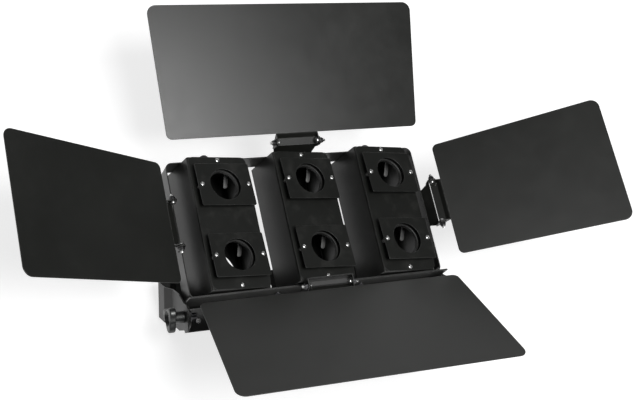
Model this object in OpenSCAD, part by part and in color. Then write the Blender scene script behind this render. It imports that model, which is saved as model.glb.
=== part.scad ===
// Four-leaf barn door with three swivelling twin-aperture banks on a tilting yoke.
// +X is right, +Y runs towards the top leaf and +Z points out of the front.
// The origin is the centre of the frame, level with the front panels.

/* [Frame] */
// Outer width of the frame band
frame_w = 361.6; // [360:0.2:372]
// Outer height of the frame band
frame_h = 187.4; // [187:0.2:190]
// Depth of the frame band
frame_d = 31; // [26:1:40]
// How far the band's front edge sits behind the front panels
frame_back = 15; // [12:1:18]
// Thickness of the folded steel sheet
sheet = 1.5; // [1.2:0.1:1.6]

/* [Banks] */
// Distance between neighbouring banks
pitch = 120; // [118:1:122]
// Width of a bank
bank_w = 86; // [80:1:88]
// Height of a bank
bank_h = 183.2; // [182:0.2:183.4]
// Depth of a bank behind its front face
bank_d = 65.8; // [60:0.2:66]
// Depth of the swivel axis behind the front face
swivel_z = 34; // [30:1:36]
// Swivel of the left, centre and right bank
bank_turn = [10.3, 10.2, 11.3]; // [0:0.1:12]

/* [Apertures] */
// Height of each aperture centre above or below the middle
aperture_y = 48.6; // [46:0.1:50]
// Radius of the aperture in each plate
aperture_r = 22; // [19:0.1:23]
// Width of an aperture plate
plate_w = 79; // [76:1:80]
// Height of an aperture plate
plate_h = 60; // [56:1:64]
// Height of an aperture plate's face above the front panel
plate_lift = 10; // [9:0.5:12]
// Forward tilt of the aperture plates
plate_tilt = 3; // [0:0.5:4]
// Distance of the side screws from the aperture centre
plate_screw_x = 34; // [33:0.5:35]

/* [Leaves] */
// Outer edge of the top and bottom leaves
wide_leaf_w = 385.2; // [360:0.2:390]
// Length of the top and bottom leaves away from the hinge
wide_leaf_l = 176.8; // [150:0.2:180]
// Outer edge of the side leaves
side_leaf_w = 180.4; // [170:0.2:182]
// Length of the side leaves away from the hinge
side_leaf_l = 240; // [200:1:242]
// Thickness of a leaf
leaf_t = 1.2; // [1:0.1:1.5]
// Raise of the top, bottom, left and right leaf from flat open
leaf_raise = [17.1, 36.2, 29.1, 27.5]; // [0:0.1:60]

/* [Yoke] */
// Swing of the yoke from straight back towards the top leaf
yoke_swing = 32.5; // [0:0.5:34]
// Distance from the yoke pivot to the outside of its base
yoke_l = 90; // [88:1:110]
// Width of the yoke strip
yoke_w = 48; // [40:1:50]
// Thickness of the yoke strip
yoke_t = 2; // [1.8:0.1:2.2]

/* [Hidden] */
$fn = 48;
SIDES = ["left", "centre", "right"];
LEAVES = ["top", "bottom", "left", "right"];

wall_gap = 0.3;               // clear gap between neighbouring pieces
frame_r = 9;                  // outside corner radius of the band
band_front = -frame_back;
band_back = band_front - frame_d;
wall_x = frame_w / 2;         // outer face of the band's side walls
wall_y = frame_h / 2;         // outer face of the band's long walls

lip_w = 11;                   // width of the housing's front lips
flange_d = bank_d - 2 * sheet + 0.5;                // depth of the housing's end flanges
housing_front = -sheet;       // the front panel lies on the housing
vent_r = 31.5;                 // rear opening behind each aperture
corner_r = 8;                 // corners of the front panels
panel_hole_r = 20.2;          // opening in the front panel
ring_r = 23.6;                // outside of the retaining rings
ring_h = 4;
panel_screw_y = 86.6;         // top and bottom screws of a front panel
m3 = 1.5;
m3_head = 3;
m4 = 2;
m4_head = 3.9;
swivel_r = 3;                 // M6 swivel bolts
swivel_run = 0.06;            // running clearance of the swivels

clip_w = 6;
clip_t = 0.8;
clip_x = 20;                  // centre of a lamp clip beside its aperture's centre
clip_path = [[24, -1.9], [31, -1.9], [28.6, -16], [9.7, -28.1]];  // foot, bends and free end

axis_out = 7.6;               // hinge axes outside the band's walls
axis_front = [12, 12, 9.5, 9.5];  // hinge axes in front of the panels
axis_x = 187.2;
axis_y = wall_y + axis_out;
leaf_gap = 12;                // hinge axis to the leaf's near edge
wide_taper = 0.057;           // how much narrower a leaf is at its hinge
side_taper = 0.1;
leaf_r = 12;
leaf_near_r = 8;
tab_end = 3.6;                // a leaf's tab reaches this far past its hinge axis
tab_drop = 7.8;               // and passes this far behind it
ear_x = 29.2;                 // inner face of a leaf's hinge ears
ear_r = 6;
bracket_root = 27;            // half width of a bracket on the frame
bracket_back = band_front - 11;
rivet_z = band_front - 5.5;
plate_end = 9.6;                // a bracket's plate ends this far behind its axis
head_h = 3;
hinge_run = 0.05;             // running clearance of the hinge screws

rail_front = -5;
rail_back = -52;
rail_drop = 127;              // lower edge of the rail's flange
rail_x = 184.6;
rail_t = 2;
pivot_y = -110;
pivot_z = -35;
pivot_ear_r = 17;
pivot_r = 4;                  // M8 clamp stud and pivot bolt
yoke_in = rail_x + 0.8;       // inner face of the yoke's narrow part
yoke_step = 7;                // outward joggle of the yoke's arms
knob_x = 205;                 // centre of the knob's head
rivets_x = 15;
mount_r = 6.25;
mount_side_r = 3.25;
mount_side_x = 35;

function bank_index(s) = s == "left" ? 0 : s == "centre" ? 1 : 2;
function leaf_index(s) = s == "top" ? 0 : s == "bottom" ? 1 : s == "left" ? 2 : 3;
function unit(v) = v / norm(v);
function bend_half(p, i) =
    let (n = len(p), u = unit(p[(i + n - 1) % n] - p[i]), v = unit(p[(i + 1) % n] - p[i]))
    acos(u * v) / 2;
function toward(p, i, j) = unit(p[j] - p[i]);

// Outline with true round corners: r holds one radius per corner.
module soft_outline(p, r) {
    n = len(p);
    polygon([for (i = [0 : n - 1]) for (j = [i + n - 1, i + 1])
        p[i] + toward(p, i, j % n) * r[i] / tan(bend_half(p, i))]);
    for (i = [0 : n - 1])
        if (r[i] > 0)
            translate(p[i] + unit(toward(p, i, (i + n - 1) % n) + toward(p, i, (i + 1) % n))
                * r[i] / sin(bend_half(p, i)))
                circle(r[i]);
}

module soft_rect(w, h, r) {
    soft_outline([[-w / 2, -h / 2], [w / 2, -h / 2], [w / 2, h / 2], [-w / 2, h / 2]],
        [r, r, r, r]);
}

// A cylinder along +Y from y0 to y1, and one along +X from x0 to x1.
module rod_y(r, y0, y1) translate([0, y0, 0]) rotate([-90, 0, 0]) cylinder(r = r, h = y1 - y0);
module rod_x(r, x0, x1) translate([x0, 0, 0]) rotate([0, 90, 0]) cylinder(r = r, h = x1 - x0);

module screw_z(r, head_r, head, length, face) {
    translate([0, 0, face]) cylinder(r1 = head_r, r2 = head_r * 0.72, h = head);
    translate([0, 0, face - length]) cylinder(r = r, h = length);
}

// Places its children on bank s, turned about the bank's swivel axis.
module on_bank(s) {
    i = bank_index(s);
    translate([(i - 1) * pitch, 0, -swivel_z])
        rotate([0, bank_turn[i], 0])
            translate([0, 0, swivel_z])
                children();
}

// Places its children, drawn for the top side, on the side that holds leaf s.
module on_side(s) {
    if (s == "top") children();
    if (s == "bottom") rotate([0, 0, 180]) children();
    if (s == "left") rotate([0, 0, 90]) children();
    if (s == "right") rotate([0, 0, -90]) children();
}

function is_wide(s) = s == "top" || s == "bottom";
function hinge_out(s) = is_wide(s) ? axis_y : axis_x;
function wall_out(s) = is_wide(s) ? wall_y : wall_x;
function seat_out(s) = wall_out(s) + (s == "bottom" ? rail_t : 0);

// ---- frame ----

module outer_frame() {
    color("#26282a")
    difference() {
        translate([0, 0, band_back]) linear_extrude(frame_d) soft_rect(frame_w, frame_h, frame_r);
        translate([0, 0, band_back - 1]) linear_extrude(frame_d + 2)
            soft_rect(frame_w - 2 * sheet, frame_h - 2 * sheet, frame_r - sheet);
        for (i = [-1 : 1])
            translate([i * pitch, 0, -swivel_z])
                rod_y(swivel_r + 0.02, -wall_y - 1, wall_y + 1);
        for (s = LEAVES)
            on_side(s) rivet_places(s) rod_y(m4 + 0.02, -8, 3);
        rail_places() rod_y(m4 + 0.1, -3, 3);
    }
}

// Two rivets a side hold each hinge bracket on the outside of the band.
module rivet_places(s) {
    for (x = [-rivets_x, rivets_x])
        translate([x, seat_out(s) - sheet, rivet_z]) children();
}

module rail_places() {
    for (x = [-pitch / 2, pitch / 2])
        translate([x, -wall_y, band_front - 9]) children();
}

module bracket_rivets() {
    color("#2c2e30")
    for (s = LEAVES)
        on_side(s) rivet_places(s) {
            rod_y(m4 + 0.02, wall_out(s) - seat_out(s), 2 * sheet + 0.1);
            translate([0, 2 * sheet, 0]) rotate([-90, 0, 0])
                cylinder(r1 = 3.2, r2 = 2.4, h = 1.2);
        }
}

// The bottom bracket sits on the rail, the others on the band. Coordinates of a
// bracket's section: away from the frame, then towards the front.
function web_section(s) =
    let (seat = seat_out(s), z = axis_front[leaf_index(s)], out = hinge_out(s))
    s == "bottom"
        ? [[seat, bracket_back], [seat + sheet, bracket_back], [seat + sheet, rail_front],
            [wall_y + 0.3, rail_front + 8], [wall_y + 0.3, z + 7], [wall_y - 1, z + 7],
            [wall_y - 1, rail_front + 7.4], [seat, rail_front + 0.05]]
        : [[seat, bracket_back], [seat + sheet, bracket_back], [seat + sheet, band_front],
            [out + 0.7, z - plate_end], [out - 0.8, z - plate_end], [seat, band_front]];
function ear_section(s) =
    s == "bottom"
        ? [[-8, -11], [-5.4, -12], [0.7 * ear_r, -0.7 * ear_r], [-0.7 * ear_r, 0.7 * ear_r],
            [-8, 6.6]]
        : [[-2.4, -14.5], [0.7 * ear_r, -0.7 * ear_r], [-0.7 * ear_r, 0.7 * ear_r], [-5.9, -1],
            [-4.2, -9]];

module hinge_bracket(s) {
    z = axis_front[leaf_index(s)];
    half = ear_x + leaf_t + wall_gap + sheet;
    color("#35383a")
    on_side(s)
    difference() {
        union() {
            intersection() {
                translate([-half, 0, 0]) rotate([90, 0, 90]) linear_extrude(2 * half)
                    polygon(web_section(s));
                translate([0, seat_out(s) - 9, 0]) rotate([90, 0, 0]) mirror([0, 0, 1])
                    linear_extrude(24)
                        polygon([[-bracket_root, bracket_back - 1], [bracket_root, bracket_back - 1],
                            [bracket_root, z - 24], [half + 1, z - 15], [half + 1, z + 9],
                            [-half - 1, z + 9], [-half - 1, z - 15], [-bracket_root, z - 24]]);
            }
            for (m = [0, 1]) mirror([m, 0, 0])
                translate([half - sheet, hinge_out(s), z]) rotate([90, 0, 90])
                    linear_extrude(sheet)
                        union() {
                            circle(ear_r);
                            polygon(ear_section(s));
                        }
        }
        translate([0, hinge_out(s), z]) rod_x(m4 + 0.02, -half - 1, half + 1);
        rivet_places(s) rod_y(m4 + 0.02, 0, 3 * sheet);
    }
}

// ---- banks ----

module bank_housing(s) {
    inner = bank_w / 2 - sheet;
    color("#2a2c2e")
    on_bank(s)
    difference() {
        union() {
            for (m = [0, 1]) mirror([m, 0, 0]) {
                translate([inner, -bank_h / 2, -bank_d])
                    cube([sheet, bank_h, bank_d + housing_front]);
                translate([inner - lip_w, -bank_h / 2, housing_front - sheet])
                    cube([lip_w + 0.1, bank_h, sheet]);
            }
            translate([-inner - 0.1, -bank_h / 2, -bank_d]) cube([bank_w - sheet, bank_h, sheet]);
            for (m = [0, 1]) mirror([0, m, 0]) {
                translate([-inner - 0.1, bank_h / 2 - sheet, housing_front - flange_d])
                    cube([bank_w - sheet, sheet, flange_d]);
                translate([-inner - 0.1, bank_h / 2 - lip_w, housing_front - sheet])
                    cube([bank_w - sheet, lip_w, sheet]);
            }
        }
        translate([0, 0, -swivel_z]) rod_y(swivel_r + swivel_run, -bank_h, bank_h);
        for (y = [-aperture_y, aperture_y])
            translate([0, y, -bank_d - 1]) cylinder(r = vent_r, h = sheet + 2);
        for (y = [-panel_screw_y, panel_screw_y])
            translate([0, y, -6]) cylinder(r = m3 + 0.02, h = 10);
    }
}

module front_panel(s) {
    color("#2e3032")
    on_bank(s)
    difference() {
        translate([0, 0, -sheet]) linear_extrude(sheet) soft_rect(bank_w, bank_h, corner_r);
        for (y = [-aperture_y, aperture_y])
            translate([0, y, -3]) cylinder(r = panel_hole_r, h = 6);
        for (y = [-panel_screw_y, panel_screw_y])
            translate([0, y, -3]) cylinder(r = m3 + 0.02, h = 6);
    }
}

module retaining_rings(s) {
    color("#45484a")
    on_bank(s)
    for (y = [-aperture_y, aperture_y])
        translate([0, y, 0])
            difference() {
                cylinder(r = ring_r, h = ring_h);
                translate([0, 0, -1]) cylinder(r = panel_hole_r, h = ring_h + 2);
            }
}

// A point beside point i of a path, at distance d from the path's two lines there.
function strip_edge(path, i, d) =
    let (a = path[max(i, 1)] - path[max(i, 1) - 1])
    let (b = path[min(i, len(path) - 2) + 1] - path[min(i, len(path) - 2)])
    let (u = [-a[1], a[0]] / norm(a))
    let (n = u + [-b[1], b[0]] / norm(b))
    path[i] + n * d / (n * u);

// Bent spring strips on the back of the front panel that hold the rim of a lamp.
module lamp_clips(s) {
    color("#8b8f92")
    on_bank(s)
    for (y = [-aperture_y, aperture_y])
        translate([clip_x - clip_w / 2, y, 0]) rotate([90, 0, 90]) linear_extrude(clip_w)
            polygon(concat([for (i = [0:3]) strip_edge(clip_path, i, clip_t / 2)],
                [for (i = [3:-1:0]) strip_edge(clip_path, i, -clip_t / 2)]));
}

// The plates tilt about the line through their two side screws.
module on_plate(s, up) {
    on_bank(s)
        translate([0, up * aperture_y, plate_lift])
            rotate([-plate_tilt, 0, 0])
                children();
}

module aperture_plate(s, up) {
    color("#2c2e30")
    on_plate(s, up)
    difference() {
        translate([0, 0, -sheet]) linear_extrude(sheet) soft_rect(plate_w, plate_h, 2);
        translate([0, 0, -5]) cylinder(r = aperture_r, h = 10);
        for (x = [-plate_screw_x, plate_screw_x])
            translate([x, 0, -5]) cylinder(r = m3 + 0.02, h = 10);
    }
}

module plate_standoffs(s) {
    height = plate_lift - sheet - 0.2;
    color("#b9bcbe")
    for (up = [-1, 1])
        on_plate(s, up)
            for (x = [-plate_screw_x, plate_screw_x])
                translate([x, 0, -sheet - height])
                    difference() {
                        cylinder(r = 3.2, h = height, $fn = 6);
                        translate([0, 0, 1.5]) cylinder(r = m3 + 0.02, h = height);
                    }
}

module bank_screws(s) {
    color("#c4c7c9") {
        for (up = [-1, 1])
            on_plate(s, up)
                for (x = [-plate_screw_x, plate_screw_x])
                    translate([x, 0, 0]) screw_z(m3, m3_head, 2, 7, 0);
        on_bank(s)
            for (y = [-panel_screw_y, panel_screw_y])
                translate([0, y, 0]) screw_z(m3, m3_head, 2, 5, 0);
    }
}

// ---- swivels ----

module swivel_places() {
    for (i = [-1 : 1])
        translate([i * pitch, 0, -swivel_z]) children();
}

module swivel_bolts() {
    color("#a9acae")
    swivel_places() {
        rod_y(swivel_r, bank_h / 2 - 8, wall_y + 8);
        translate([0, bank_h / 2 - sheet - wall_gap - 4, 0]) rotate([-90, 30, 0])
            cylinder(r = 5.6, h = 4, $fn = 6);
    }
}

module swivel_washers() {
    color("#a9acae")
    swivel_places()
        difference() {
            rod_y(7.6, wall_y, wall_y + 1.4);
            rod_y(swivel_r + 0.02, wall_y - 1, wall_y + 3);
        }
}

module swivel_cap_nuts() {
    color("#3a3d3f")
    swivel_places()
        difference() {
            union() {
                translate([0, wall_y + 1.4, 0]) rotate([-90, 0, 0])
                    cylinder(r = 8.2, h = 7, $fn = 6);
                translate([0, wall_y + 8.4, 0]) rotate([-90, 0, 0])
                    intersection() {
                        sphere(r = 7);
                        cylinder(r = 8, h = 8);
                    }
            }
            rod_y(swivel_r + 0.02, wall_y, wall_y + 8.1);
        }
}

module swivel_pins() {
    color("#a9acae")
    swivel_places() {
        rod_y(swivel_r, -wall_y, -bank_h / 2 + 6);
        translate([0, -bank_h / 2 + sheet + wall_gap, 0]) rod_y(5, 0, 2.5);
    }
}

// ---- leaves ----

// A leaf drawn flat: its hinge axis is the X axis and it reaches towards +Y.
module leaf_blank(w, l, taper) {
    near = w / 2 * (1 - taper);
    difference() {
        union() {
            linear_extrude(leaf_t)
                soft_outline([[-near, leaf_gap], [near, leaf_gap],
                    [w / 2, leaf_gap + l], [-w / 2, leaf_gap + l]],
                    [leaf_near_r, leaf_near_r, leaf_r, leaf_r]);
            translate([-ear_x - leaf_t, 0, 0]) rotate([90, 0, 90])
                linear_extrude(2 * (ear_x + leaf_t))
                    polygon([[leaf_gap + 2, 0], [leaf_gap + 2, leaf_t], [leaf_gap, leaf_t],
                        [-tab_end, leaf_t - tab_drop], [-tab_end, -tab_drop], [leaf_gap, 0]]);
            for (m = [0, 1]) mirror([m, 0, 0])
                translate([ear_x, 0, 0]) rotate([90, 0, 90]) linear_extrude(leaf_t)
                    union() {
                        circle(ear_r - 0.6);
                        polygon([[-tab_end, leaf_t / 2 - tab_drop], [leaf_gap, leaf_t / 2],
                            [2, ear_r - 1.2], [-ear_r + 0.8, 1]]);
                    }
        }
        for (m = [0, 1]) mirror([m, 0, 0])
            rod_x(m4 + hinge_run, ear_x - 1, ear_x + leaf_t + 1);
    }
}

module leaf(s) {
    i = leaf_index(s);
    color(["#5a5e60", "#34373a", "#242628", "#45494b"][i])
    on_side(s)
        translate([0, hinge_out(s), axis_front[i]])
            rotate([leaf_raise[i], 0, 0])
                if (is_wide(s))
                    leaf_blank(wide_leaf_w, wide_leaf_l, wide_taper);
                else
                    leaf_blank(side_leaf_w, side_leaf_l, side_taper);
}

module hinge_axis(s) {
    on_side(s)
        translate([0, hinge_out(s), axis_front[leaf_index(s)]])
            for (m = [0, 1]) mirror([m, 0, 0]) children();
}

module hinge_screws(s) {
    head = ear_x - wall_gap;
    color("#dfe1e2")
    hinge_axis(s) {
        rod_x(m4, head, head + 11);
        translate([head - head_h, 0, 0]) rotate([0, 90, 0])
            cylinder(r1 = m4_head * 0.7, r2 = m4_head, h = head_h);
    }
}

module hinge_nuts(s) {
    start = ear_x + leaf_t + wall_gap + sheet;
    color("#4a4d4f")
    hinge_axis(s)
        difference() {
            union() {
                translate([start, 0, 0]) rotate([0, 90, 0]) cylinder(r = 4.04, h = 3.4, $fn = 6);
                rod_x(3.4, start + 3.4, start + 5);
            }
            rod_x(m4 + 0.02, start - 1, start + 6);
        }
}

// ---- rail, yoke and clamp ----

module pivot_at() translate([0, pivot_y, pivot_z]) children();

module lower_rail() {
    leg_y = -wall_y - rail_t;
    color("#6a6e70")
    difference() {
        union() {
            translate([-rail_x, leg_y, rail_back])
                cube([2 * rail_x, rail_t, rail_front - rail_back]);
            translate([-rail_x, -rail_drop, rail_back])
                cube([2 * rail_x, rail_drop - wall_y - rail_t / 2, rail_t]);
            for (m = [0, 1]) mirror([m, 0, 0])
                translate([rail_x - rail_t, 0, 0]) rotate([90, 0, 90]) linear_extrude(rail_t)
                    union() {
                        translate([pivot_y, pivot_z]) circle(pivot_ear_r);
                        translate([-rail_drop, rail_back])
                            square([2 * pivot_ear_r, pivot_z - rail_back]);
                    }
        }
        pivot_at() rod_x(pivot_r + 0.02, -rail_x - 5, rail_x + 5);
        rail_places() rod_y(m4 + 0.02, -5, 3);
        on_side("bottom") rivet_places("bottom") rod_y(m4 + 0.02, -2, 3);
        rail_tab_places() translate([0, 0, -5]) cylinder(r = m4 + 0.02, h = 10);
    }
}

// Screws that close the rail's flange at each end.
module rail_tab_places() {
    for (x = [-165, 165])
        translate([x, pivot_y - 3, rail_back + rail_t]) children();
}

module rail_screws() {
    color("#c4c7c9") {
        rail_places() {
            translate([0, -rail_t, 0]) rotate([90, 0, 0]) cylinder(r1 = 3.9, r2 = 2.8, h = 2.4);
            rod_y(m4, -rail_t, sheet + 4.5);
        }
        rail_tab_places() screw_z(m4, m4_head, 2.4, 8, 0);
    }
}

module rail_nuts() {
    color("#4a4d4f") {
        rail_places()
            translate([0, sheet, 0]) rotate([-90, 0, 0])
                difference() {
                    cylinder(r = 4.04, h = 3.2, $fn = 6);
                    translate([0, 0, -1]) cylinder(r = m4 + 0.02, h = 6);
                }
        rail_tab_places()
            translate([0, 0, -rail_t - 3.2])
                difference() {
                    cylinder(r = 4.04, h = 3.2, $fn = 6);
                    translate([0, 0, -1]) cylinder(r = m4 + 0.02, h = 6);
                }
    }
}

// The yoke drawn straight back: pivot at the origin, base at z = -yoke_l.
module yoke_straight() {
    w = yoke_w;
    t = yoke_t;
    inner_l = 46;             // straight narrow part beside the frame
    outer_l = 62;             // start of the wide part
    wide = yoke_in + yoke_step;
    difference() {
        union() {
            for (m = [0, 1]) mirror([m, 0, 0]) {
                translate([yoke_in, 0, 0]) rotate([90, 0, 90]) linear_extrude(t)
                    union() {
                        circle(w / 2 - 6);
                        polygon([[-w / 2 + 6, 0], [w / 2 - 6, 0], [w / 2, -20],
                            [w / 2, -inner_l], [-w / 2, -inner_l], [-w / 2, -20]]);
                    }
                rotate([90, 0, 0]) translate([0, 0, -w / 2]) linear_extrude(w)
                    polygon([[yoke_in, -inner_l + 0.1], [yoke_in + t, -inner_l + 0.1],
                        [wide + t, -outer_l], [wide + t, -yoke_l], [wide, -yoke_l],
                        [wide, -outer_l]]);
            }
            translate([-wide - t, -w / 2, -yoke_l - t]) cube([2 * (wide + t), w, t + 0.05]);
        }
        rod_x(pivot_r + 0.08, -yoke_in - 9, yoke_in + 9);
        translate([0, 0, -yoke_l - t - 1]) cylinder(r = mount_r, h = t + 3);
        for (x = [-mount_side_x, mount_side_x])
            translate([x, 0, -yoke_l - t - 1]) cylinder(r = mount_side_r, h = t + 3);
    }
}

module yoke() {
    color("#8a8d8f")
    pivot_at() rotate([yoke_swing, 0, 0]) yoke_straight();
}

module yoke_washers() {
    color("#a9acae")
    pivot_at()
        for (m = [0, 1]) mirror([m, 0, 0])
            difference() {
                rod_x(9, rail_x, yoke_in - wall_gap);
                rod_x(pivot_r + 0.02, rail_x - 1, yoke_in + 1);
            }
}

module clamp_stud() {
    color("#b9bcbe")
    pivot_at() {
        rod_x(pivot_r, -knob_x + 2, -rail_x + 14);
        translate([-rail_x + rail_t, 0, 0]) rotate([0, 90, 0]) rotate([0, 0, 30])
            cylinder(r = 7, h = 5, $fn = 6);
    }
}

module clamp_knob() {
    hub_end = yoke_in + yoke_t + wall_gap;
    color("#55595b")
    pivot_at()
        difference() {
            union() {
                rod_x(7.5, -knob_x, -hub_end);
                rod_x(11, -knob_x - 4.5, -knob_x + 4.5);
                for (a = [0 : 120 : 359]) rotate([a + 15, 0, 0]) translate([0, 0, 12])
                    rod_x(6.5, -knob_x - 4, -knob_x + 4);
            }
            rod_x(pivot_r + 0.03, -knob_x + 1.5, 0);
        }
}

module pivot_bolt() {
    color("#c4c7c9")
    pivot_at() {
        rod_x(pivot_r, rail_x - 16, yoke_in + yoke_t + 1);
        translate([yoke_in + yoke_t + wall_gap, 0, 0]) rotate([0, 90, 0])
            cylinder(r1 = 7.6, r2 = 5.6, h = 4.4);
    }
}

module pivot_nut() {
    color("#4a4d4f")
    pivot_at()
        difference() {
            translate([rail_x - rail_t - 7, 0, 0]) rotate([0, 90, 0])
                cylinder(r = 7.2, h = 7, $fn = 6);
            rod_x(pivot_r + 0.02, rail_x - 20, rail_x);
        }
}

outer_frame();
lower_rail();
rail_screws();
rail_nuts();
yoke();
clamp_knob();
clamp_stud();
pivot_bolt();
pivot_nut();
yoke_washers();
swivel_bolts();
swivel_cap_nuts();
swivel_washers();
swivel_pins();
bracket_rivets();
for (s = SIDES) {
    bank_housing(s);
    front_panel(s);
    retaining_rings(s);
    lamp_clips(s);
    aperture_plate(s, 1);
    aperture_plate(s, -1);
    plate_standoffs(s);
    bank_screws(s);
}
for (s = LEAVES) {
    hinge_bracket(s);
    leaf(s);
    hinge_screws(s);
    hinge_nuts(s);
}
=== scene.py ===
import bmesh
import bpy
from math import atan2, cos, pi, radians, sin, tan
from mathutils import Matrix, Vector


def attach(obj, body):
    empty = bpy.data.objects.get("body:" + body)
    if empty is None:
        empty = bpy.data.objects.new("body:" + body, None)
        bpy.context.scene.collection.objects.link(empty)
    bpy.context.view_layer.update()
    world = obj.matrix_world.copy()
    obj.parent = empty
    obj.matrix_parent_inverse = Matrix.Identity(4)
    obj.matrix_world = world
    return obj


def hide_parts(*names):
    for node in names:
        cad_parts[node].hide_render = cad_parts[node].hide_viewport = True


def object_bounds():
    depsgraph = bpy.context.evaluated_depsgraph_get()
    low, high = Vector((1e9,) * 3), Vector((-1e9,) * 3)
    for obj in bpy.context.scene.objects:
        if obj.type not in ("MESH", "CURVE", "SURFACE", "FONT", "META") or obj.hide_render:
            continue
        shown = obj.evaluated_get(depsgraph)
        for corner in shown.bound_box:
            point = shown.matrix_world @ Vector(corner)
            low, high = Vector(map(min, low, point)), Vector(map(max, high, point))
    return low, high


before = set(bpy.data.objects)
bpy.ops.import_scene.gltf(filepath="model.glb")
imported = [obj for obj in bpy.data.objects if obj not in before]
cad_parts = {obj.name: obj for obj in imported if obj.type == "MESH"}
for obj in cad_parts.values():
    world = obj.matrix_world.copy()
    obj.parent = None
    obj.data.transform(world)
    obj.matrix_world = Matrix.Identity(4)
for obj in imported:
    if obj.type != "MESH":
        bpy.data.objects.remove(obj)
cad_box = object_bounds()

# ---- sizes, in millimetres, as in the CAD model ----
FRAME_W, FRAME_H, FRAME_D, BAND_FRONT, SHEET = 361.6, 187.4, 31.0, -15.0, 1.5
PITCH, BANK_W, BANK_H, BANK_D, SWIVEL_Z = 120.0, 86.0, 183.2, 65.8, 34.0
TURN = {"left": 10.3, "centre": 10.2, "right": 11.3}
RAISE = {"top": 17.1, "bottom": 36.2, "left": 29.1, "right": 27.5}
AXIS_Z = {"top": 12.0, "bottom": 12.0, "left": 9.5, "right": 9.5}
AP_Y, AP_R, PLATE_W, PLATE_H, LIFT, TILT, PSX = 48.6, 22.0, 79.0, 60.0, 10.0, 3.0, 34.0
WALL_X, WALL_Y = FRAME_W / 2, FRAME_H / 2
RAIL_X, RAIL_T, RAIL_FRONT, RAIL_BACK, RAIL_DROP = 184.6, 2.0, -5.0, -52.0, 127.0
PIVOT = (0.0, -110.0, -35.0)
YOKE_IN, YOKE_STEP, YOKE_T, YOKE_W, YOKE_L, SWING = 185.4, 7.0, 2.0, 48.0, 90.0, 32.5
EAR_X, LEAF_T = 29.2, 1.2
HALF = EAR_X + LEAF_T + 0.3 + SHEET
SIDES = ("left", "centre", "right")
LEAVES = ("top", "bottom", "left", "right")


def T(x, y, z):
    return Matrix.Translation((x, y, z))


def R(axis, deg):
    return Matrix.Rotation(radians(deg), 4, axis)


def mirror_x():
    return Matrix.Scale(-1, 4, (1, 0, 0))


# Local x, y, z become row Y, Z, X.
YZX = Matrix(((0, 0, 1, 0), (1, 0, 0, 0), (0, 1, 0, 0), (0, 0, 0, 1)))
# Local x, y, z become row X, Z, -Y.
XZ_Y = Matrix(((1, 0, 0, 0), (0, 0, -1, 0), (0, 1, 0, 0), (0, 0, 0, 1)))


def on_bank(s):
    k = SIDES.index(s) - 1
    return T(k * PITCH, 0, -SWIVEL_Z) @ R("Y", TURN[s]) @ T(0, 0, SWIVEL_Z)


def on_side(s):
    return R("Z", {"top": 0, "bottom": 180, "left": 90, "right": -90}[s])


def on_plate(s, up):
    return on_bank(s) @ T(0, up * AP_Y, LIFT) @ R("X", -TILT)


def wall_out(s):
    return WALL_Y if s in ("top", "bottom") else WALL_X


def hinge_out(s):
    return WALL_Y + 7.6 if s in ("top", "bottom") else 187.2


def seat_out(s):
    return wall_out(s) + (RAIL_T if s == "bottom" else 0)


# ---- mesh tools ----
def circle(r, x=0.0, y=0.0, n=64):
    return [(x + r * cos(2 * pi * i / n), y + r * sin(2 * pi * i / n)) for i in range(n)]


def rounded(points, radii, n=7):
    """Outline with filleted corners, convex or concave."""
    out = []
    count = len(points)
    for i, (p, r) in enumerate(zip(points, radii)):
        p = Vector(p)
        a = (Vector(points[i - 1]) - p).normalized()
        b = (Vector(points[(i + 1) % count]) - p).normalized()
        half = a.angle(b) / 2
        if r <= 0 or half > pi / 2 - 0.01:
            out.append(tuple(p))
            continue
        reach = r / tan(half)
        start, end = p + a * reach, p + b * reach
        centre = p + (a + b).normalized() * (r / sin(half))
        u, v = start - centre, end - centre
        sweep = atan2(u.x * v.y - u.y * v.x, u.dot(v))
        for k in range(n + 1):
            t = sweep * k / n
            out.append((centre.x + u.x * cos(t) - u.y * sin(t),
                        centre.y + u.x * sin(t) + u.y * cos(t)))
    return out


def area(points):
    return sum(p[0] * q[1] - q[0] * p[1] for p, q in zip(points, points[1:] + points[:1])) / 2


def rect(w, h, r, x=0.0, y=0.0):
    return rounded([(x - w / 2, y - h / 2), (x + w / 2, y - h / 2), (x + w / 2, y + h / 2),
                    (x - w / 2, y + h / 2)], [r] * 4)


def plate(outer, holes=(), t=1.5, soft=0.3):
    """Flat sheet from z = 0 to t with softened edges, as a mesh."""
    cu = bpy.data.curves.new("sheet", "CURVE")
    cu.dimensions = "2D"
    cu.fill_mode = "BOTH"
    loops = [outer if area(outer) > 0 else outer[::-1]]
    loops += [h[::-1] if area(h) > 0 else h for h in holes]
    for pts in loops:
        pts = [p for i, p in enumerate(pts) if (Vector(p) - Vector(pts[i - 1])).length > 0.01]
        sp = cu.splines.new("POLY")
        sp.points.add(len(pts) - 1)
        for q, p in zip(sp.points, pts):
            q.co = (p[0], p[1], 0, 1)
        sp.use_cyclic_u = True
    cu.extrude = t / 2 - soft
    cu.bevel_depth = soft
    cu.bevel_resolution = 2
    cu.offset = -soft
    ob = bpy.data.objects.new("sheet", cu)
    bpy.context.collection.objects.link(ob)
    mesh = bpy.data.meshes.new_from_object(ob)
    bpy.data.objects.remove(ob)
    bpy.data.curves.remove(cu)
    mesh.transform(T(0, 0, t / 2))
    return mesh


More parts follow.
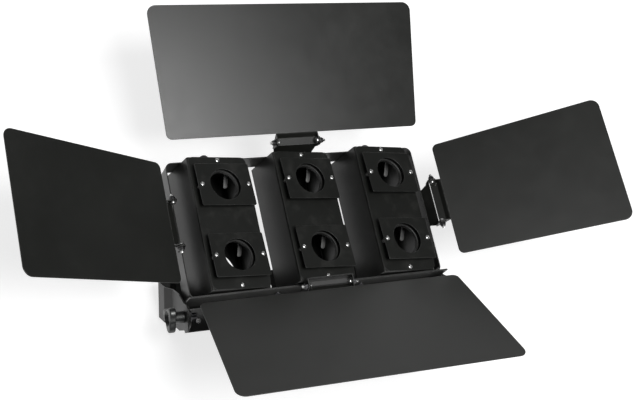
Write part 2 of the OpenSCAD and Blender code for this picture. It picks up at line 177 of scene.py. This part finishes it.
def strip(path, t, radii):
    """Cross-section of a bent strip: the path is its middle line."""
    left, right = [], []
    n = len(path)
    for i in range(n):
        p = Vector(path[i])
        a = (p - Vector(path[i - 1])).normalized() if i else None
        b = (Vector(path[i + 1]) - p).normalized() if i < n - 1 else None
        d = a or b
        e = b or a
        m = (Vector((-d.y, d.x)) + Vector((-e.y, e.x))).normalized()
        k = t / 2 / max(0.2, m.dot(Vector((-d.y, d.x))))
        turn = d.x * e.y - d.y * e.x
        left.append((tuple(p + m * k), radii[i] + (-t / 2 if turn > 0 else t / 2) if radii[i] else 0))
        right.append((tuple(p - m * k), radii[i] + (t / 2 if turn > 0 else -t / 2) if radii[i] else 0))
    both = left + right[::-1]
    return rounded([p for p, r in both], [max(0, r) for p, r in both])


def lathe(profile, n=48, close=True):
    """Turns (radius, height) points about Z."""
    bm = bmesh.new()
    rings = []
    for r, z in profile:
        if r < 1e-6:
            rings.append([bm.verts.new((0, 0, z))])
        else:
            rings.append([bm.verts.new((r * cos(2 * pi * i / n), r * sin(2 * pi * i / n), z))
                          for i in range(n)])
    pairs = list(zip(rings, rings[1:]))
    if close and len(rings[0]) > 1 and len(rings[-1]) > 1:
        pairs.append((rings[-1], rings[0]))
    for a, b in pairs:
        for i in range(n):
            j = (i + 1) % n
            if len(a) == 1 and len(b) == 1:
                continue
            if len(a) == 1:
                bm.faces.new((a[0], b[i], b[j]))
            elif len(b) == 1:
                bm.faces.new((a[i], a[j], b[0]))
            else:
                bm.faces.new((a[i], a[j], b[j], b[i]))
    bmesh.ops.recalc_face_normals(bm, faces=bm.faces)
    mesh = bpy.data.meshes.new("lathe")
    bm.to_mesh(mesh)
    bm.free()
    return mesh


def cut(mesh, tools):
    """The mesh with the tools taken away."""
    ob = bpy.data.objects.new("cut", mesh)
    bpy.context.collection.objects.link(ob)
    extras = []
    for tool in tools:
        t = bpy.data.objects.new("tool", tool)
        bpy.context.collection.objects.link(t)
        extras.append(t)
        m = ob.modifiers.new("cut", "BOOLEAN")
        m.operation = "DIFFERENCE"
        m.solver = "EXACT"
        m.object = t
    got = bpy.data.meshes.new_from_object(ob.evaluated_get(bpy.context.evaluated_depsgraph_get()))
    for o in extras + [ob]:
        bpy.data.objects.remove(o)
    return got


def moved(mesh, m):
    got = mesh.copy()
    got.transform(m)
    if m.determinant() < 0:
        got.flip_normals()
    return got


def piece(name, parts, body, nodes):
    """One object from (mesh, matrix, material) parts; it stands for the CAD nodes."""
    bm = bmesh.new()
    mats = []
    for mesh, m, mat in parts:
        if mat not in mats:
            mats.append(mat)
        tmp = moved(mesh, T(0, 0, 0) @ Matrix.Scale(0.001, 4) @ m)
        for p in tmp.polygons:
            p.material_index = mats.index(mat)
        bm.from_mesh(tmp)
        bpy.data.meshes.remove(tmp)
    bmesh.ops.remove_doubles(bm, verts=bm.verts, dist=2e-6)
    mesh = bpy.data.meshes.new(name)
    bm.to_mesh(mesh)
    bm.free()
    for mat in mats:
        mesh.materials.append(mat)
    mesh.polygons.foreach_set("use_smooth", [True] * len(mesh.polygons))
    mesh.set_sharp_from_angle(angle=radians(38))
    ob = bpy.data.objects.new(name, mesh)
    bpy.context.collection.objects.link(ob)
    w = ob.modifiers.new("normals", "WEIGHTED_NORMAL")
    w.keep_sharp = True
    w.weight = 90
    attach(ob, body)
    if nodes:
        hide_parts(*nodes)
    return ob


# ---- materials ----
def node_tree(name):
    mat = bpy.data.materials.new(name)
    mat.use_nodes = True
    nt = mat.node_tree
    bsdf = nt.nodes["Principled BSDF"]
    return mat, nt, bsdf


def link(nt, a, b):
    nt.links.new(a, b)


def noise(nt, scale, detail=3.0, rough=0.5, coords=None):
    n = nt.nodes.new("ShaderNodeTexNoise")
    n.inputs["Scale"].default_value = scale
    n.inputs["Detail"].default_value = detail
    n.inputs["Roughness"].default_value = rough
    link(nt, coords, n.inputs["Vector"])
    return n.outputs["Fac"]


def mix(nt, fac, a, b):
    m = nt.nodes.new("ShaderNodeMix")
    m.data_type = "RGBA"
    for sock, v in ((m.inputs[0], fac), (m.inputs[6], a), (m.inputs[7], b)):
        if isinstance(v, (tuple, list)):
            sock.default_value = (*v, 1)
        elif isinstance(v, (int, float)):
            sock.default_value = v
        else:
            link(nt, v, sock)
    return m.outputs[2]


def math_node(nt, op, a, b):
    m = nt.nodes.new("ShaderNodeMath")
    m.operation = op
    m.use_clamp = op in ("MULTIPLY_ADD",)
    for sock, v in zip(m.inputs, (a, b)):
        if isinstance(v, (int, float)):
            sock.default_value = v
        else:
            link(nt, v, sock)
    return m.outputs[0]


def remap(nt, fac, lo, hi, a=0.0, b=1.0):
    m = nt.nodes.new("ShaderNodeMapRange")
    m.inputs["From Min"].default_value = a
    m.inputs["From Max"].default_value = b
    m.inputs["To Min"].default_value = lo
    m.inputs["To Max"].default_value = hi
    link(nt, fac, m.inputs["Value"])
    return m.outputs[0]


def bump(nt, bsdf, layers):
    normal = None
    for height, distance, strength in layers:
        b = nt.nodes.new("ShaderNodeBump")
        b.inputs["Distance"].default_value = distance
        b.inputs["Strength"].default_value = strength
        link(nt, height, b.inputs["Height"])
        if normal is not None:
            link(nt, normal, b.inputs["Normal"])
        normal = b.outputs["Normal"]
    link(nt, normal, bsdf.inputs["Normal"])


def edges(nt, radius):
    """1 on convex edges and 0 on flat faces, from the Bevel node."""
    bev = nt.nodes.new("ShaderNodeBevel")
    bev.samples = 4
    bev.inputs["Radius"].default_value = radius
    geo = nt.nodes.new("ShaderNodeNewGeometry")
    dot = nt.nodes.new("ShaderNodeVectorMath")
    dot.operation = "DOT_PRODUCT"
    link(nt, bev.outputs["Normal"], dot.inputs[0])
    link(nt, geo.outputs["Normal"], dot.inputs[1])
    return remap(nt, dot.outputs["Value"], 1.0, 0.0, 0.90, 0.995)


def coat(name, colour, rough, wear_and_highlight=0.35, dust=0.35, wave=0.0, peel=0.25, spec=0.5):
    """Powder coat: fine grain, slight dust, handling marks, and convex edges lightened as rubbed paint and
    painted highlight.
    """
    mat, nt, bsdf = node_tree(name)
    co = nt.nodes.new("ShaderNodeTexCoord").outputs["Object"]
    grain = noise(nt, 2600, 2, 0.6, co)
    cloud = noise(nt, 9, 5, 0.55, co)
    smear = noise(nt, 45, 6, 0.62, co)
    base = mix(nt, remap(nt, cloud, 0, 1, 0.3, 0.7), colour, tuple(c * 1.35 for c in colour))
    base = mix(nt, remap(nt, smear, 0, 0.35 * dust, 0.52, 0.75), base, (0.10, 0.098, 0.092))
    base = mix(nt, remap(nt, grain, 0, 0.30, 0.45, 0.75), base, tuple(c * 0.45 for c in colour))
    # Convex edges are mixed towards light grey: partly rubbed paint, partly a painted highlight along the
    # edges.
    edge = edges(nt, 0.0009)
    edge_wear_and_highlight = math_node(nt, "MULTIPLY", edge, remap(nt, noise(nt, 160, 4, 0.7, co), 0.15, 1, 0.38, 0.66))
    edge_wear_and_highlight = math_node(nt, "MULTIPLY", edge_wear_and_highlight, wear_and_highlight)
    base = mix(nt, edge_wear_and_highlight, base, (0.30, 0.30, 0.295))
    link(nt, base, bsdf.inputs["Base Color"])
    r = remap(nt, math_node(nt, "ADD", smear, cloud), rough - 0.02, rough + 0.04, 0.7, 1.3)
    r = math_node(nt, "SUBTRACT", r, math_node(nt, "MULTIPLY", edge_wear_and_highlight, 0.18))
    link(nt, r, bsdf.inputs["Roughness"])
    layers = [(noise(nt, 700, 3, 0.55, co), 0.00012, peel), (grain, 0.00004, 0.35)]
    if wave:
        layers.append((noise(nt, 5.5, 1.5, 0.4, co), wave, 1.0))
    bump(nt, bsdf, layers)
    bsdf.inputs["Specular IOR Level"].default_value = spec
    return mat


def steel(name, colour, rough, brush=(1, 1, 1), stain=0.25, stain_colour=(0.20, 0.19, 0.17)):
    """Plated or bare metal with fine scratches and dull patches."""
    mat, nt, bsdf = node_tree(name)
    co = nt.nodes.new("ShaderNodeTexCoord").outputs["Object"]
    mp = nt.nodes.new("ShaderNodeMapping")
    mp.inputs["Scale"].default_value = brush
    link(nt, co, mp.inputs["Vector"])
    line = noise(nt, 1800, 3, 0.6, mp.outputs["Vector"])
    blot = noise(nt, 260, 4, 0.6, co)
    base = mix(nt, remap(nt, line, 0, 0.5, 0.3, 0.8), colour, tuple(c * 0.72 for c in colour))
    base = mix(nt, remap(nt, blot, 0, stain, 0.5, 0.75), base, stain_colour)
    link(nt, base, bsdf.inputs["Base Color"])
    link(nt, remap(nt, blot, rough - 0.06, rough + 0.14, 0.3, 0.75), bsdf.inputs["Roughness"])
    bump(nt, bsdf, [(line, 0.00003, 0.3), (blot, 0.00005, 0.2)])
    bsdf.inputs["Metallic"].default_value = 1.0
    return mat


BODY = coat("coat_body", (0.0080, 0.0084, 0.0074), 0.36, wear_and_highlight=0.30, spec=0.42)
# The panel coat is the body's black coat set darker: painted shade on the front panels and aperture plates.
PANEL = coat("coat_panel_shaded", (0.0065, 0.0069, 0.0060), 0.40, wear_and_highlight=0.22, spec=0.36)
LEAF = coat("coat_leaf", (0.0100, 0.0104, 0.0092), 0.31, wear_and_highlight=0.45, dust=0.07, wave=0.0004, spec=0.44)
RAIL = coat("coat_rail", (0.0095, 0.0098, 0.0088), 0.38, wear_and_highlight=0.45)
YOKE = coat("coat_yoke", (0.0085, 0.0088, 0.0080), 0.42, wear_and_highlight=0.40, spec=0.34)
INNER = coat("coat_inner", (0.007, 0.0072, 0.0066), 0.45, wear_and_highlight=0.15)
BRIGHT = steel("zinc_bright", (0.80, 0.80, 0.79), 0.26, stain=0.15)
DULL = steel("zinc_dull", (0.50, 0.50, 0.49), 0.38, stain=0.3)
OXIDE = steel("black_oxide", (0.055, 0.055, 0.058), 0.40, stain=0.3, stain_colour=(0.10, 0.09, 0.08))
SPRING = steel("spring_steel", (0.34, 0.34, 0.335), 0.5, brush=(1, 0.05, 1), stain=0.2)
ALLOY = steel("knob_alloy", (0.085, 0.087, 0.085), 0.40, stain=0.35, stain_colour=(0.05, 0.05, 0.048))
COLLAR, _nt, _b = node_tree("nylon_collar")
_co = _nt.nodes.new("ShaderNodeTexCoord").outputs["Object"]
link(_nt, mix(_nt, noise(_nt, 900, 3, 0.5, _co), (0.035, 0.036, 0.036), (0.02, 0.021, 0.021)),
     _b.inputs["Base Color"])
link(_nt, remap(_nt, noise(_nt, 500, 3, 0.5, _co), 0.35, 0.55), _b.inputs["Roughness"])


# ---- fasteners ----
def bar(w, d, h, z):
    bm = bmesh.new()
    bmesh.ops.create_cube(bm, size=1)
    bmesh.ops.scale(bm, vec=(w, d, h), verts=bm.verts)
    bmesh.ops.translate(bm, vec=(0, 0, z), verts=bm.verts)
    mesh = bpy.data.meshes.new("bar")
    bm.to_mesh(mesh)
    bm.free()
    return mesh


def pan_screw(r, head_r, head, length, cross=True, socket=0.0):
    """Screw along -Z with its head on z = 0, with thread grooves and a recess."""
    pts = [(0, head)]
    for k in range(1, 9):
        a = radians(90 * k / 8)
        pts.append((head_r * sin(a) ** 0.8, head * (0.35 + 0.65 * cos(a))))
    pts += [(head_r, 0.12), (head_r - 0.12, 0)]
    pts.append((r, 0))
    z, step = -0.8, max(0.5, r * 0.35)
    pts.append((r, z))
    while z - step > -length + 0.5:
        pts += [(r * 0.86, z - step / 2), (r, z - step)]
        z -= step
    pts += [(r * 0.8, -length), (0, -length)]
    mesh = lathe(pts, 32, close=False)
    tools = []
    if cross:
        arm = head_r * 0.95
        wide = head_r * 0.24
        tools = [bar(arm, wide, head, head * 0.85), bar(wide, arm, head, head * 0.85)]
    if socket:
        tools = [plate(circle(socket, n=6), (), head, 0.05)]
        tools[0].transform(T(0, 0, head * 0.45))
    return cut(mesh, tools) if tools else mesh


def hex_nut(r, h, hole, n_collar=0.0):
    body = plate(rounded(circle(r, n=6), [0.25] * 6, 2), [circle(hole, n=32)], h, 0.35)
    cone = lathe([(hole, -0.02), (r * 0.86, -0.02), (r * 0.9, 0.2), (r * 0.9, h - 0.2),
                  (r * 0.84, h + 0.02), (hole, h + 0.02)], 32)
    parts = [body, cone]
    if n_collar:
        parts.append(lathe([(hole * 0.93, h), (r * 0.80, h), (r * 0.80, h + n_collar * 0.55),
                            (r * 0.68, h + n_collar), (hole * 0.93, h + n_collar * 0.85)], 32))
    return parts


def ring(r0, r1, h, soft=0.2):
    return lathe([(r0, soft), (r0 + soft, 0), (r1 - soft, 0), (r1, soft), (r1, h - soft),
                  (r1 - soft, h), (r0 + soft, h), (r0, h - soft)], 48)


M3_SCREW = pan_screw(1.5, 3.0, 2.0, 7.0)
M3_SHORT = pan_screw(1.5, 3.0, 2.0, 5.0)
M4_SCREW = pan_screw(2.0, 3.9, 3.0, 11.0)
RAIL_SCREW = pan_screw(2.0, 3.9, 2.4, 8.0)
NYLOC = hex_nut(4.04, 3.4, 2.0, 1.6)
M4_NUT = hex_nut(4.04, 3.2, 2.0)

# ---- frame band ----
band = plate(rect(FRAME_W, FRAME_H, 9), [rect(FRAME_W - 2 * SHEET, FRAME_H - 2 * SHEET, 7.5)],
             FRAME_D, 0.45)
parts = [(band, T(0, 0, BAND_FRONT - FRAME_D), BODY)]
piece("outer_frame_band", parts, "frame", ["outer_frame"])

# ---- lower rail ----
legs = plate(strip([(-WALL_Y - 1, RAIL_FRONT), (-WALL_Y - 1, RAIL_BACK + 1), (-RAIL_DROP, RAIL_BACK + 1)],
                   RAIL_T, [0, 3, 0]), (), 2 * RAIL_X, 0.4)
ear = plate(rounded([(-127, -52), (-93, -52), (-93, -35), (-93, -18), (-127, -18), (-127, -35)],
                    [2, 0, 0, 16.9, 16.9, 0]), [circle(4.02, -110, -35, 32)], RAIL_T, 0.4)
parts = [(legs, T(-RAIL_X, 0, 0) @ YZX, RAIL)]
for m in (Matrix(), mirror_x()):
    parts.append((ear, m @ T(RAIL_X - RAIL_T, 0, 0) @ YZX, RAIL))
piece("lower_rail_angle", parts, "frame", ["lower_rail"])

RAIL_PLACES = [T(x, -WALL_Y, BAND_FRONT - 9) for x in (-60, 60)]
TAB_PLACES = [T(x, PIVOT[1] - 3, RAIL_BACK + RAIL_T) for x in (-165, 165)]
parts = [(RAIL_SCREW, m @ T(0, -RAIL_T, 0) @ R("X", 90), OXIDE) for m in RAIL_PLACES]
parts += [(RAIL_SCREW, m, BRIGHT) for m in TAB_PLACES]
piece("rail_screw_set", parts, "frame", ["rail_screws"])
parts = [(p, m @ T(0, SHEET, 0) @ R("X", -90), OXIDE) for m in RAIL_PLACES for p in M4_NUT]
parts += [(p, m @ T(0, 0, -RAIL_T - 3.2), OXIDE) for m in TAB_PLACES for p in M4_NUT]
piece("rail_nut_set", parts, "frame", ["rail_nuts"])

# ---- banks ----
VENT_R, PANEL_HOLE_R, PANEL_SCREW_Y = 31.5, 20.2, 86.6
CLIP_W, CLIP_T, CLIP_X, CLIP_SLOPE = 6, 0.8, 20, 32.6
CLIP_FACE = (CLIP_X, 16.2, -23.94)  # where the clip's rounded tongue begins
for s in SIDES:
    b = on_bank(s)
    body = "bank_" + s
    w, half_h = BANK_W / 2, BANK_H / 2
    side = plate(strip([(w - SHEET - 11, -2.25), (w - 0.75, -2.25), (w - 0.75, -BANK_D + 0.75),
                        (w - 9, -BANK_D + 0.75)], SHEET, [0, 2, 2.2, 0]), (), BANK_H, 0.3)
    rear = plate(rect(BANK_W - 3, BANK_H, 2), [circle(VENT_R, 0, y, 96) for y in (-AP_Y, AP_Y)], SHEET, 0.3)
    cap = plate(strip([(half_h - 11, -2.25), (half_h - 0.75, -2.25), (half_h - 0.75, 1 - BANK_D)],
                      SHEET, [0, 2, 0]), (), BANK_W - 3.2, 0.3)
    parts = [(rear, b @ T(0, 0, -BANK_D), INNER)]
    for m in (Matrix(), mirror_x()):
        parts.append((side, b @ m @ T(0, half_h, 0) @ XZ_Y, BODY))
    for m in (Matrix(), Matrix.Scale(-1, 4, (0, 1, 0))):
        parts.append((cap, b @ m @ T(-BANK_W / 2 + 1.6, 0, 0) @ YZX, BODY))
    piece("bank_housing_shell_" + s, parts, body, ["bank_housing_" + s])

    front = plate(rect(BANK_W, BANK_H, 8), [circle(PANEL_HOLE_R, 0, y) for y in (-AP_Y, AP_Y)], SHEET, 0.6)
    piece("front_panel_sheet_" + s, [(front, b @ T(0, 0, -SHEET), PANEL)], body,
          ["front_panel_" + s])
    lip = lathe([(PANEL_HOLE_R, 0), (23.6, 0), (23.6, 1.0), (22.4, 1.3), (22.3, 3.4), (21.7, 4), (20.8, 4),
                 (PANEL_HOLE_R, 3.5)], 64)
    parts = [(lip, b @ T(0, y, 0), INNER) for y in (-AP_Y, AP_Y)]
    piece("retaining_ring_pair_" + s, parts, body, ["retaining_rings_" + s])

    for up, word in ((1, "upper"), (-1, "lower")):
        face = plate(rect(PLATE_W, PLATE_H, 2.4), [circle(AP_R, n=96)], SHEET, 0.4)
        piece(word + "_aperture_sheet_" + s, [(face, on_plate(s, up) @ T(0, 0, -SHEET), PANEL)], body,
              [word + "_aperture_plate_" + s])

    clip = plate(strip([(24, -1.9), (31, -1.9), (28.6, -16), (14, -25.35)], CLIP_T, [0, 1.4, 1.4, 0]),
                 (), CLIP_W, 0.15)
    face = plate(rounded([(-3, -7.7), (3, -7.7), (3, 2.6), (-3, 2.6)], [2.9, 2.9, 0.3, 0.3]),
                 (), CLIP_T, 0.2)
    slope = T(*CLIP_FACE) @ R("X", CLIP_SLOPE) @ T(0, 0, -CLIP_T / 2)
    parts = []
    for y in (-AP_Y, AP_Y):
        parts.append((face, b @ T(0, y, 0) @ slope, SPRING))
        parts.append((clip, b @ T(CLIP_X - CLIP_W / 2, y, 0) @ YZX, SPRING))
    piece("lamp_clip_pair_" + s, parts, body, ["lamp_clips_" + s])

    high = LIFT - SHEET - 0.2
    post = hex_nut(3.2, high, 1.5)
    parts = [(p, on_plate(s, up) @ T(x, 0, -SHEET - high), DULL)
             for up in (-1, 1) for x in (-PSX, PSX) for p in post]
    piece("standoff_set_" + s, parts, body, ["plate_standoffs_" + s])
    parts = [(M3_SCREW, on_plate(s, up) @ T(x, 0, 0) @ R("Z", 25 * x + 40 * up), BRIGHT)
             for up in (-1, 1) for x in (-PSX, PSX)]
    parts += [(M3_SHORT, b @ T(0, y, 0) @ R("Z", 30 + y), BRIGHT) for y in (-PANEL_SCREW_Y, PANEL_SCREW_Y)]
    piece("bank_screw_set_" + s, parts, body, ["bank_screws_" + s])

# ---- swivels ----
SWIVELS = [T(k * PITCH, 0, -SWIVEL_Z) for k in (-1, 0, 1)]
UP_Y = R("X", -90)
parts = [(p, m @ T(0, WALL_Y + 1.4, 0) @ UP_Y, OXIDE) for m in SWIVELS for p in hex_nut(8.2, 7, 3.02)]
dome = lathe([(0, 7)] + [(7 * sin(radians(a)), 7 * cos(radians(a))) for a in range(10, 91, 10)]
             + [(7, -0.6), (0, -0.6)], 48, close=False)
parts += [(dome, m @ T(0, WALL_Y + 8.4, 0) @ UP_Y, OXIDE) for m in SWIVELS]
piece("swivel_cap_nut_set", parts, "frame", ["swivel_cap_nuts"])
parts = [(ring(3.02, 7.6, 1.4), m @ T(0, WALL_Y, 0) @ UP_Y, DULL) for m in SWIVELS]
piece("swivel_washer_set", parts, "frame", ["swivel_washers"])

# ---- hinges and leaves ----
TAB = EAR_X + LEAF_T
wide_pts = [(-181.6, 12), (-TAB, 12), (TAB, 12), (181.6, 12), (192.6, 188.8), (-192.6, 188.8)]
side_pts = [(-81.2, 12), (-TAB, 12), (TAB, 12), (81.2, 12), (90.2, 252), (-90.2, 252)]
tab = plate(strip([(13, 0.6), (11.6, 0.5), (6.6, -4.9), (-3.4, -6.7)], LEAF_T, [0, 3, 2, 0]),
            (), 2 * TAB, 0.35)
leaf_ear = plate(rounded([(-3.6, -7.0), (12, 0.3), (12, 0.9), (4.2, 4.4), (-2.6, 5.2), (-5.4, 1.2)],
                         [1.2, 0.3, 0.3, 3.6, 3.2, 2.5]), [circle(2.05, n=28)], LEAF_T, 0.25)
for s in LEAVES:
    hinge = on_side(s) @ T(0, hinge_out(s), AXIS_Z[s])
    spread = hinge @ R("X", RAISE[s])
    blank = plate(rounded(wide_pts if s in ("top", "bottom") else side_pts, [8, 0, 0, 8, 12, 12], 9),
                  (), LEAF_T, 0.42)
    parts = [(blank, spread, LEAF), (tab, spread @ T(-TAB, 0, 0) @ YZX, LEAF)]
    for m in (Matrix(), mirror_x()):
        parts.append((leaf_ear, spread @ m @ T(EAR_X, 0, 0) @ YZX, LEAF))
    piece("leaf_sheet_" + s, parts, "leaf_" + s, ["leaf_" + s])

    seat, out, z = seat_out(s), hinge_out(s), AXIS_Z[s]
    low, high = z - 24, z - 15
    if s == "bottom":
        path = [(seat + 0.75, BAND_FRONT - 11), (seat + 0.75, low), (seat + 0.75, RAIL_FRONT),
                (WALL_Y - 0.35, RAIL_FRONT + 7.7), (WALL_Y - 0.35, z + 7)]
        corners = [0, 0, 2, 2, 0]
        rim = [(-8, -11), (-5.4, -12), (4.3, -4.2), (6, 0), (4.3, 4.3), (0, 6), (-8, 6.6)]
        bends = [0, 3, 2.5, 3, 3, 3, 1]
    else:
        path = [(seat + 0.75, BAND_FRONT - 11), (seat + 0.75, BAND_FRONT), (out - 0.05, z - 9.6)]
        corners = [0, 3, 0]
        rim = [(-2.4, -14.5), (4.3, -4.2), (6, 0), (4.3, 4.3), (0, 6), (-4.3, 4.3), (-6, 0), (-4.2, -9)]
        bends = [0, 2.5, 3, 3, 3, 3, 3, 0]
    web = plate(strip(path, SHEET, corners), (), 2 * HALF, 0.3)
    tmp = moved(web, T(-HALF, 0, 0) @ YZX)
    for v in tmp.vertices:
        f = min(1, max(0, (v.co.z - low) / (high - low)))
        v.co.x *= (27 + (HALF - 27) * f) / HALF
    ear = plate(rounded(rim, bends), [circle(2.02, n=28)], SHEET, 0.3)
    parts = [(tmp, on_side(s), BODY)]
    for m in (Matrix(), mirror_x()):
        parts.append((ear, hinge @ m @ T(HALF - SHEET, 0, 0) @ YZX, BODY))
    piece("hinge_bracket_sheet_" + s, parts, "frame", ["hinge_bracket_" + s])

    parts, nuts = [], []
    for m in (Matrix(), mirror_x()):
        at = hinge @ m
        parts.append((M4_SCREW, at @ T(EAR_X - 0.3, 0, 0) @ R("Y", -90) @ R("Z", 20), BRIGHT))
        for i, p in enumerate(NYLOC):
            nuts.append((p, at @ T(HALF, 0, 0) @ R("Y", 90) @ R("Z", 12), COLLAR if i == 2 else OXIDE))
    piece("hinge_screw_pair_" + s, parts, "frame", ["hinge_screws_" + s])
    piece("hinge_nyloc_pair_" + s, nuts, "frame", ["hinge_nuts_" + s])

rivet = lathe([(0, 1.2), (1.4, 1.15), (2.4, 0.85), (3.0, 0.35), (3.2, 0), (2.02, 0), (2.02, -3.2),
               (0, -3.2)], 28, close=False)
parts = []
for s in LEAVES:
    for x in (-15, 15):
        parts.append((rivet, on_side(s) @ T(x, seat_out(s) + SHEET, BAND_FRONT - 5.5) @ UP_Y, OXIDE))
piece("bracket_rivet_set", parts, "frame", ["bracket_rivets"])

# ---- yoke, knob and pivot ----
at = T(*PIVOT) @ R("X", SWING)
wide = YOKE_IN + YOKE_STEP
arm = plate(rounded([(-18, 0), (-18, 14), (-10, 18), (10, 18), (18, 14), (18, 0), (24, -20), (24, -48),
                     (-24, -48), (-24, -20)], [0, 9, 9, 9, 9, 0, 6, 0, 0, 6]),
            [circle(4.08, n=32)], YOKE_T, 0.4)
leg = plate(strip([(YOKE_IN + 1, -45), (YOKE_IN + 1, -46.5), (wide + 1, -62), (wide + 1, -YOKE_L - 1),
                   (wide - 24, -YOKE_L - 1)], YOKE_T, [0, 3, 3, 4, 0]), (), YOKE_W, 0.4)
base = plate(rect(2 * (wide - 14), YOKE_W, 0.5),
             [circle(6.25), circle(3.25, -35, 0, 32), circle(3.25, 35, 0, 32)], YOKE_T, 0.35)
parts = [(base, at @ T(0, 0, -YOKE_L - YOKE_T), YOKE)]
for m in (Matrix(), mirror_x()):
    parts.append((arm, at @ m @ T(YOKE_IN, 0, 0) @ YZX, YOKE))
    parts.append((leg, at @ m @ T(0, YOKE_W / 2, 0) @ XZ_Y, YOKE))
piece("yoke_strap", parts, "yoke", ["yoke"])

pivot = T(*PIVOT)
ANTI_X = R("Y", -90)
KNOB_R, KNOB_LOBE, KNOB_STEPS = 14.9, 3.5, 120
outline = []
for i in range(KNOB_STEPS):
    a = 2 * pi * i / KNOB_STEPS
    r = KNOB_R + KNOB_LOBE * cos(3 * (a - radians(15)))
    outline.append((r * cos(a), r * sin(a)))
dish = lathe([(0, 4.4), (7.6, 4.4), (10.2, 9.2), (0, 9.2)], 48, close=False)
head = cut(plate(outline, [circle(4.03, n=32)], 9, 2.2), [dish])
hub = lathe([(4.03, 0), (7.0, 0), (7.5, 0.5), (7.5, 13), (9.2, 16), (4.03, 16)], 40)
cap = lathe([(0, 1.6), (4.6, 1.5), (5.6, 0.9), (5.8, 0), (5.8, -0.5), (0, -0.5)], 40, close=False)
parts = [(head, pivot @ T(-200.5, 0, 0) @ ANTI_X, ALLOY), (hub, pivot @ T(-187.7, 0, 0) @ ANTI_X, ALLOY),
         (cap, pivot @ T(-204.9, 0, 0) @ ANTI_X, OXIDE)]
piece("clamp_knob_lobed", parts, "knob", ["clamp_knob"])
PIVOT_SCREW = pan_screw(4, 7.6, 4.4, 18.8, cross=False, socket=3.0)
piece("pivot_bolt_socket", [(PIVOT_SCREW, pivot @ T(187.7, 0, 0) @ R("Y", 90), BRIGHT)], "frame",
      ["pivot_bolt"])
parts = [(ring(4.02, 9, 0.5, 0.1), pivot @ m @ T(RAIL_X, 0, 0) @ R("Y", 90), DULL)
         for m in (Matrix(), mirror_x())]
piece("yoke_washer_pair", parts, "frame", ["yoke_washers"])
parts = [(p, pivot @ T(RAIL_X - RAIL_T, 0, 0) @ R("Y", -90), OXIDE) for p in hex_nut(7.2, 7, 4.02)]
piece("pivot_hex_nut", parts, "frame", ["pivot_nut"])

# Hidden CAD parts keep their shape and get a worked finish.
for name, mat in (("swivel_bolts", DULL), ("swivel_pins", DULL), ("clamp_stud", OXIDE)):
    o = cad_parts[name]
    o.data.materials.clear()
    o.data.materials.append(mat)

# ---- floor, light and camera ----
low = cad_box[0][2] - 0.001
bpy.ops.mesh.primitive_plane_add(size=7, location=(0.4, 0.3, low))
floor = bpy.context.active_object
floor.name = "floor"
fmat, _, fb = node_tree("floor")
fb.inputs["Base Color"].default_value = (0.5, 0.5, 0.5, 1)
fb.inputs["Roughness"].default_value = 0.9
fb.inputs["Emission Color"].default_value = (1, 1, 1, 1)
fb.inputs["Emission Strength"].default_value = 0.75
floor.data.materials.append(fmat)


def area_light(name, direction, distance, size, watts, target=(0, 0, 0)):
    d = Vector(direction).normalized()
    data = bpy.data.lights.new(name, "AREA")
    data.shape = "RECTANGLE"
    data.size, data.size_y = size
    data.energy = watts
    ob = bpy.data.objects.new(name, data)
    ob.location = Vector(target) + d * distance
    ob.rotation_euler = (-d).to_track_quat("-Z", "Y").to_euler()
    bpy.context.collection.objects.link(ob)


area_light("key", (0.06, -0.25, 0.97), 2.2, (1.0, 1.0), 47)
area_light("fill", (-0.36, 0.06, 0.93), 2.6, (1.0, 1.2), 5)
area_light("back", (0.42, 0.88, 0.17), 2.6, (1.8, 0.8), 4)
world = bpy.data.worlds.new("studio")
world.use_nodes = True
world.node_tree.nodes["Background"].inputs["Color"].default_value = (0.95, 0.97, 1.0, 1)
world.node_tree.nodes["Background"].inputs["Strength"].default_value = 0.10
bpy.context.scene.world = world
bpy.context.scene.view_settings.view_transform = "Standard"

cam = bpy.data.cameras.new("camera")
cam.lens = 68.98
cam.sensor_width = 36
camera = bpy.data.objects.new("camera", cam)
camera.location = (-0.6330, -0.5054, 1.4168)
camera.rotation_euler = (radians(23.612), radians(-19.979), radians(-13.136))
bpy.context.collection.objects.link(camera)
bpy.context.scene.camera = camera
